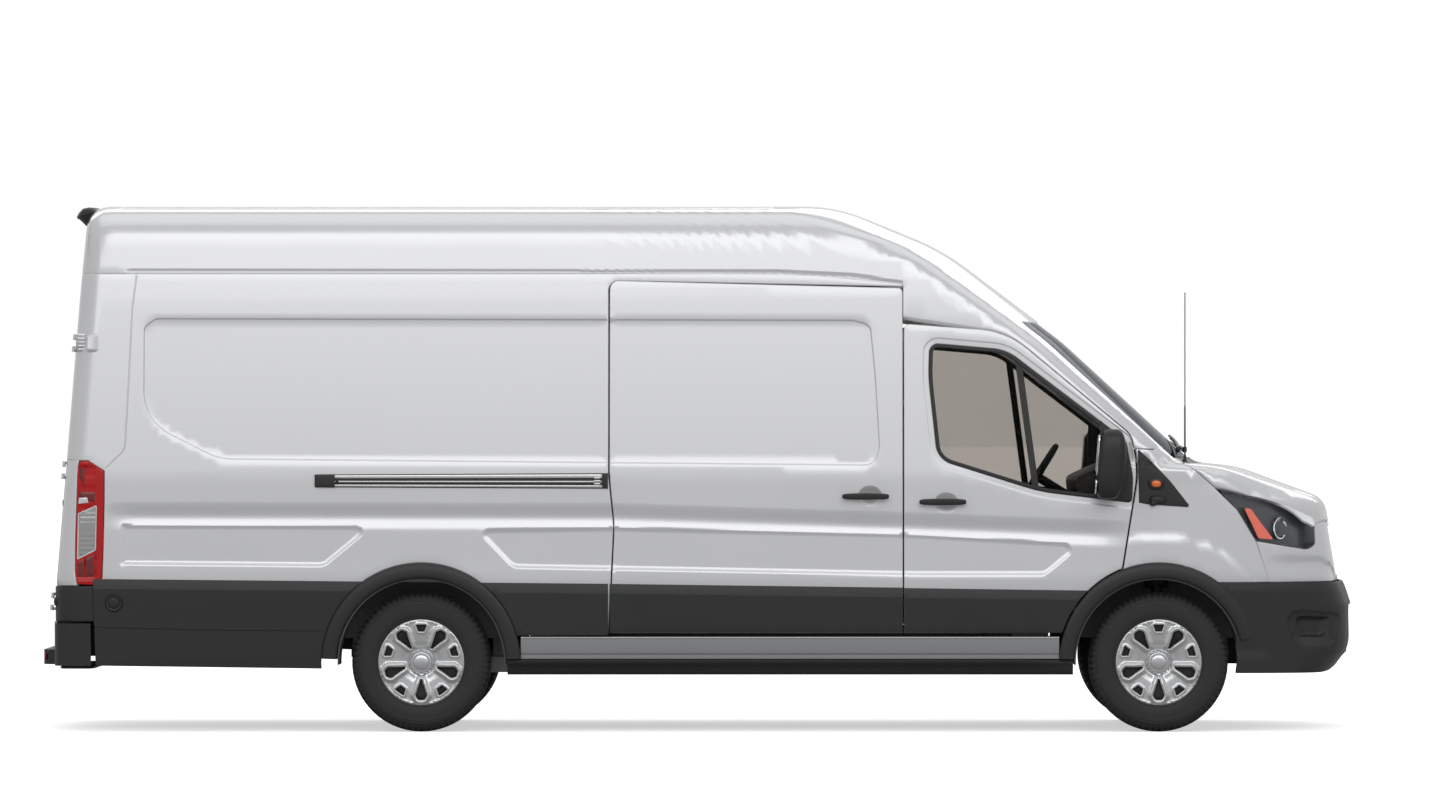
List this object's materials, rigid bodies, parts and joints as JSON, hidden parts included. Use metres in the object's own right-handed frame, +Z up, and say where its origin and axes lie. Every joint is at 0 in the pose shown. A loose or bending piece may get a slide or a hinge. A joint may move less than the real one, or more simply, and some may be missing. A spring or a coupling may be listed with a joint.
{
  "type": "electric cargo van",
  "caption": "High-roof electric cargo van, long body with extended tail, side sliding door, twin rear doors, front doors and hood that open, wheels that steer and turn.",
  "frame": {"origin": "on the ground under the middle of the overall length, on the centre line", "axes": "+X forward along the body, +Y to the left side, +Z up"},
  "size_m": [6.7192, 2.474, 2.69],
  "materials": {
    "body_paint": "silver-white paint, clear coated",
    "trim_plastic": "dark grey textured moulding",
    "sill_paint": "grey silver paint, satin",
    "black_plastic": "black, slightly glossy",
    "tinted_glass": "tinted",
    "clear_lens": "clear lens over a dark housing",
    "red_lens": "red lens",
    "tyre_rubber": "matt black rubber",
    "wheel_silver": "silver paint",
    "frame_steel": "black chassis paint",
    "battery_case": "cast and sheet case",
    "drive_metal": "cast housings",
    "cast_steel": "bare cast",
    "cab_plastic": "dark grained moulding",
    "seat_cloth": "dark woven cloth",
    "bright_metal": "bright rail"
  },
  "bodies": {
    "body": {"roof_panel": "body_paint", "side_panel_right": "body_paint", "side_panel_left": "body_paint", "sliding_door_right": "body_paint", "nose_cover": "body_paint", "fender_right": "body_paint", "fender_left": "body_paint", "sliding_door_trim": "trim_plastic", "front_bumper": "trim_plastic", "rear_bumper": "trim_plastic", "side_trims": "trim_plastic", "wheel_liners": "trim_plastic", "cowl": "black_plastic", "grille": "black_plastic", "roof_spoiler": "black_plastic", "sill_steps": "black_plastic", "antenna": "black_plastic", "windscreen": "tinted_glass", "headlamp_right": "clear_lens", "headlamp_left": "clear_lens", "tail_lamps": "red_lens", "sill_trims": "sill_paint", "chassis_frame": "frame_steel", "floor_pan": "frame_steel", "battery_pack": "battery_case", "rear_drive": "drive_metal", "front_subframe": "cast_steel", "dashboard": "cab_plastic", "steering_wheel": "cab_plastic", "seats": "seat_cloth", "door_track": "bright_metal"},
    "front_door_right": {"front_door_right": "body_paint", "door_glass_right": "tinted_glass", "door_trim_right": "trim_plastic", "mirror_right": "trim_plastic"},
    "rear_door_right": {"rear_door_right": "body_paint"},
    "knuckle_right": {"knuckle_right": "cast_steel"},
    "wheel_front_right": {"tyre_front_right": "tyre_rubber", "wheel_front_right": "wheel_silver"},
    "wheel_rear_right": {"tyre_rear_right": "tyre_rubber", "wheel_rear_right": "wheel_silver"},
    "front_door_left": {"front_door_left": "body_paint", "door_glass_left": "tinted_glass", "door_trim_left": "trim_plastic", "mirror_left": "trim_plastic"},
    "rear_door_left": {"rear_door_left": "body_paint"},
    "knuckle_left": {"knuckle_left": "cast_steel"},
    "wheel_front_left": {"tyre_front_left": "tyre_rubber", "wheel_front_left": "wheel_silver"},
    "wheel_rear_left": {"tyre_rear_left": "tyre_rubber", "wheel_rear_left": "wheel_silver"},
    "hood": {"hood": "body_paint"}
  },
  "joints": [
    {"name": "front_door_right_hinge", "type": "hinge", "parent": "body", "child": "front_door_right", "pos_m": [2.2, -1.016, 1.2], "axis": [0, 0, 1], "range_deg": [0, 65]},
    {"name": "rear_door_right_hinge", "type": "hinge", "parent": "body", "child": "rear_door_right", "pos_m": [-3.2935, -0.892, 0.76], "axis": [0.0816, 0.0384, 0.9959], "range_deg": [0, 180]},
    {"name": "steer_right", "type": "hinge", "parent": "body", "child": "knuckle_right", "pos_m": [2.33, -0.771, 0.354], "axis": [0, 0.2147, 0.9767], "range_deg": [-35, 35]},
    {"name": "wheel_front_right_spin", "type": "hinge", "parent": "knuckle_right", "child": "wheel_front_right", "pos_m": [2.33, -0.87, 0.354], "axis": [0, 1, 0], "continuous": true},
    {"name": "wheel_rear_right_spin", "type": "hinge", "parent": "body", "child": "wheel_rear_right", "pos_m": [-1.42, -0.87, 0.354], "axis": [0, 1, 0], "continuous": true},
    {"name": "front_door_left_hinge", "type": "hinge", "parent": "body", "child": "front_door_left", "pos_m": [2.2, 1.016, 1.2], "axis": [0, 0, -1], "range_deg": [0, 65]},
    {"name": "rear_door_left_hinge", "type": "hinge", "parent": "body", "child": "rear_door_left", "pos_m": [-3.2935, 0.892, 0.76], "axis": [-0.0816, 0.0384, -0.9959], "range_deg": [0, 180]},
    {"name": "steer_left", "type": "hinge", "parent": "body", "child": "knuckle_left", "pos_m": [2.33, 0.771, 0.354], "axis": [0, -0.2147, 0.9767], "range_deg": [-35, 35]},
    {"name": "wheel_front_left_spin", "type": "hinge", "parent": "knuckle_left", "child": "wheel_front_left", "pos_m": [2.33, 0.87, 0.354], "axis": [0, 1, 0], "continuous": true},
    {"name": "wheel_rear_left_spin", "type": "hinge", "parent": "body", "child": "wheel_rear_left", "pos_m": [-1.42, 0.87, 0.354], "axis": [0, 1, 0], "continuous": true},
    {"name": "hood_hinge", "type": "hinge", "parent": "body", "child": "hood", "pos_m": [2.42, 0, 1.372], "axis": [0, -1, 0], "range_deg": [0, 45]}
  ],
  "couplings": [
    {"joint": "steer_right", "follows": "steer_left", "ratio": 1}
  ]
}
